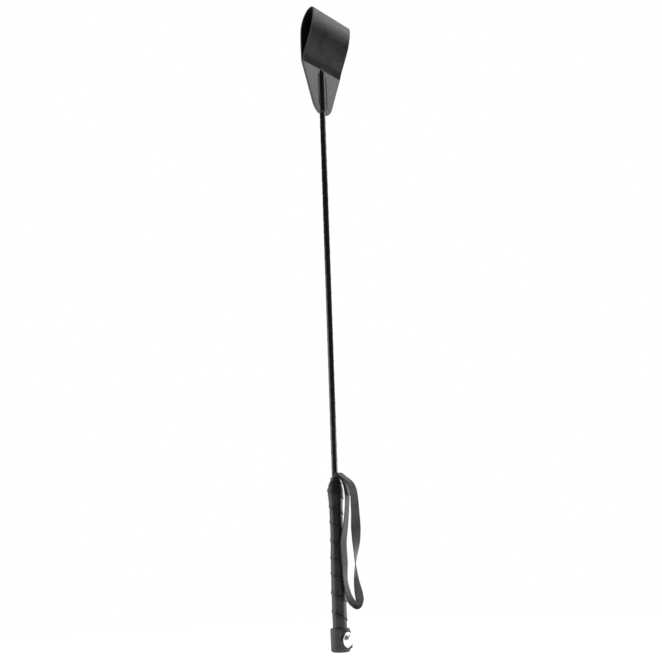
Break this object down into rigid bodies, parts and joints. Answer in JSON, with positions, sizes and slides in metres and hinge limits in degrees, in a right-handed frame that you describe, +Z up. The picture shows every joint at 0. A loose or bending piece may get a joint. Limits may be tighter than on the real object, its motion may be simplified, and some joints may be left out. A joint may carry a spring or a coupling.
{
  "type": "riding crop",
  "caption": "Slim riding crop with a folded leather keeper at the tip, a spiral-wrapped shaft, a padded grip with a wrist strap, and a leather butt cap with a domed stud.",
  "frame": {"origin": "centre of the butt cap's flat end, on the shaft's axis", "axes": "+Z up the shaft to the keeper; X along the keeper's fold; the keeper's front, the stud and the wrist strap face -Y"},
  "size_m": [0.064, 0.0345, 0.65],
  "materials": {
    "rod_fibreglass": "pultruded glass-fibre rod",
    "shaft_strip": "glossy black spiral-wound strip",
    "thread": "black waxed thread",
    "core_plastic": "moulded plastic core",
    "padding": "foam rubber underlay",
    "grip_leather": "soft black grip leather, spiral wound",
    "cap_lining_board": "leather-board lining",
    "cap_leather": "smooth black leather with pale cut edges",
    "stud_metal": "polished nickel",
    "nail_steel": "bright steel",
    "webbing": "flat black woven tape",
    "keeper_leather": "smooth semi-gloss black bridle leather"
  },
  "bodies": {
    "crop": {"rod": "rod_fibreglass", "shaft_cover": "shaft_strip", "tip_whipping": "thread", "handle_core": "core_plastic", "grip_padding": "padding", "grip_wrap": "grip_leather", "grip_collar": "grip_leather", "butt_plug": "core_plastic", "cap_lining": "cap_lining_board", "butt_cap": "cap_leather", "cap_flap": "cap_leather", "stud_washer": "stud_metal", "stud_head": "stud_metal", "stud_nail": "nail_steel", "strap_tails": "webbing", "strap_whipping": "thread", "keeper_base": "keeper_leather", "keeper_stitches_left": "thread", "keeper_stitches_right": "thread"},
    "keeper": {"keeper_loop": "keeper_leather"},
    "strap": {"wrist_strap": "webbing", "strap_lap": "webbing", "strap_seam_stitches": "thread"}
  },
  "joints": [
    {"name": "keeper_flex", "type": "hinge", "parent": "crop", "child": "keeper", "pos_m": [0, 0, 0.5935], "axis": [1, 0, 0], "range_deg": [-75, 75], "stiffness_Nm_per_rad": 0.05},
    {"name": "strap_swing", "type": "hinge", "parent": "crop", "child": "strap", "pos_m": [0, -0.0064, 0.1668], "axis": [-1, 0, 0], "range_deg": [0, 120]}
  ]
}
